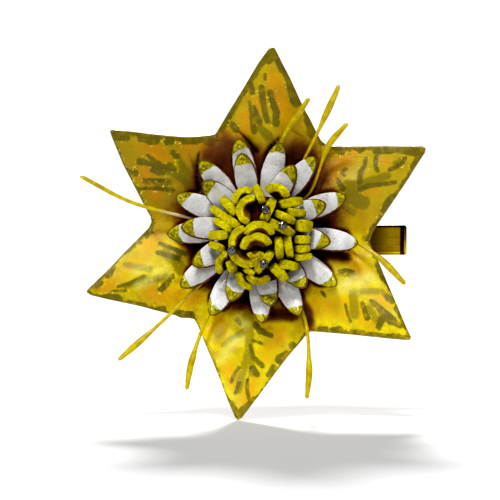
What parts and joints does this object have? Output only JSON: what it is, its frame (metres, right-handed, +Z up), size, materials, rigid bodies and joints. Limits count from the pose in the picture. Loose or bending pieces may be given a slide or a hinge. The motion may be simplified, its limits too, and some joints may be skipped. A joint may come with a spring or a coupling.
{
  "type": "flower hair clip",
  "caption": "Leather flower with a painted pointed star base, white petals, lace centre, crystals and stamens on a sprung alligator hair clip.",
  "frame": {"origin": "middle of the toothed jaws, on the plane where they close on the hair", "axes": "+X along the clip to its finger tabs, +Y to the head, +Z up as worn; the flower faces -Y"},
  "size_m": [0.115, 0.0352, 0.1227],
  "materials": {
    "gold_plate": "polished gold-coloured plating",
    "spring_wire": "bright drawn wire",
    "backing_leather": "plain matt leather",
    "star_leather": "hand painted and glossy lacquered leather",
    "petal_leather": "painted white with glossy olive tips and bare brown edges",
    "lace_leather": "yellow suede lace",
    "stamen_leather": "yellow glossy lacquered",
    "setting_metal": "bright silver-coloured",
    "crystal_glass": "faceted clear crystal"
  },
  "bodies": {
    "flower": {"backing_disc": "backing_leather", "base_pad": "backing_leather", "centre_hub": "backing_leather", "clip_hinge_pin": "gold_plate", "clip_spring": "spring_wire", "clip_top_plate": "gold_plate", "crystal_settings": "setting_metal", "crystals": "crystal_glass", "lace_loops_01": "lace_leather", "lace_loops_02": "lace_leather", "lace_loops_03": "lace_leather", "lace_loops_04": "lace_leather", "lace_loops_05": "lace_leather", "lace_loops_06": "lace_leather", "lace_loops_07": "lace_leather", "lace_loops_08": "lace_leather", "lace_loops_09": "lace_leather", "lace_loops_10": "lace_leather", "lace_loops_11": "lace_leather", "lace_loops_12": "lace_leather", "lace_loops_13": "lace_leather", "lace_loops_14": "lace_leather", "lace_loops_15": "lace_leather", "lace_loops_16": "lace_leather", "lace_loops_17": "lace_leather", "lace_loops_18": "lace_leather", "loop_pad": "lace_leather", "lower_petal_01": "petal_leather", "lower_petal_02": "petal_leather", "lower_petal_03": "petal_leather", "lower_petal_04": "petal_leather", "lower_petal_05": "petal_leather", "lower_petal_06": "petal_leather", "lower_petal_07": "petal_leather", "lower_petal_08": "petal_leather", "lower_petal_09": "petal_leather", "lower_petal_10": "petal_leather", "lower_petal_11": "petal_leather", "lower_petal_12": "petal_leather", "lower_petal_13": "petal_leather", "stamen_01": "stamen_leather", "stamen_02": "stamen_leather", "stamen_03": "stamen_leather", "stamen_04": "stamen_leather", "stamen_05": "stamen_leather", "stamen_06": "stamen_leather", "stamen_07": "stamen_leather", "stamen_08": "stamen_leather", "star_base": "star_leather", "upper_petal_01": "petal_leather", "upper_petal_02": "petal_leather", "upper_petal_03": "petal_leather", "upper_petal_04": "petal_leather", "upper_petal_05": "petal_leather", "upper_petal_06": "petal_leather", "upper_petal_07": "petal_leather", "upper_petal_08": "petal_leather", "upper_petal_09": "petal_leather", "upper_petal_10": "petal_leather"},
    "lower_jaw": {"clip_lower_jaw": "gold_plate"}
  },
  "joints": [
    {"name": "jaw_open", "type": "hinge", "parent": "flower", "child": "lower_jaw", "pos_m": [0.027, 0.0034, 0], "axis": [0, 0, -1], "range_deg": [0, 17], "stiffness_Nm_per_rad": 0.15, "springref_deg": -34.38, "deforming": ["clip_spring"]}
  ]
}
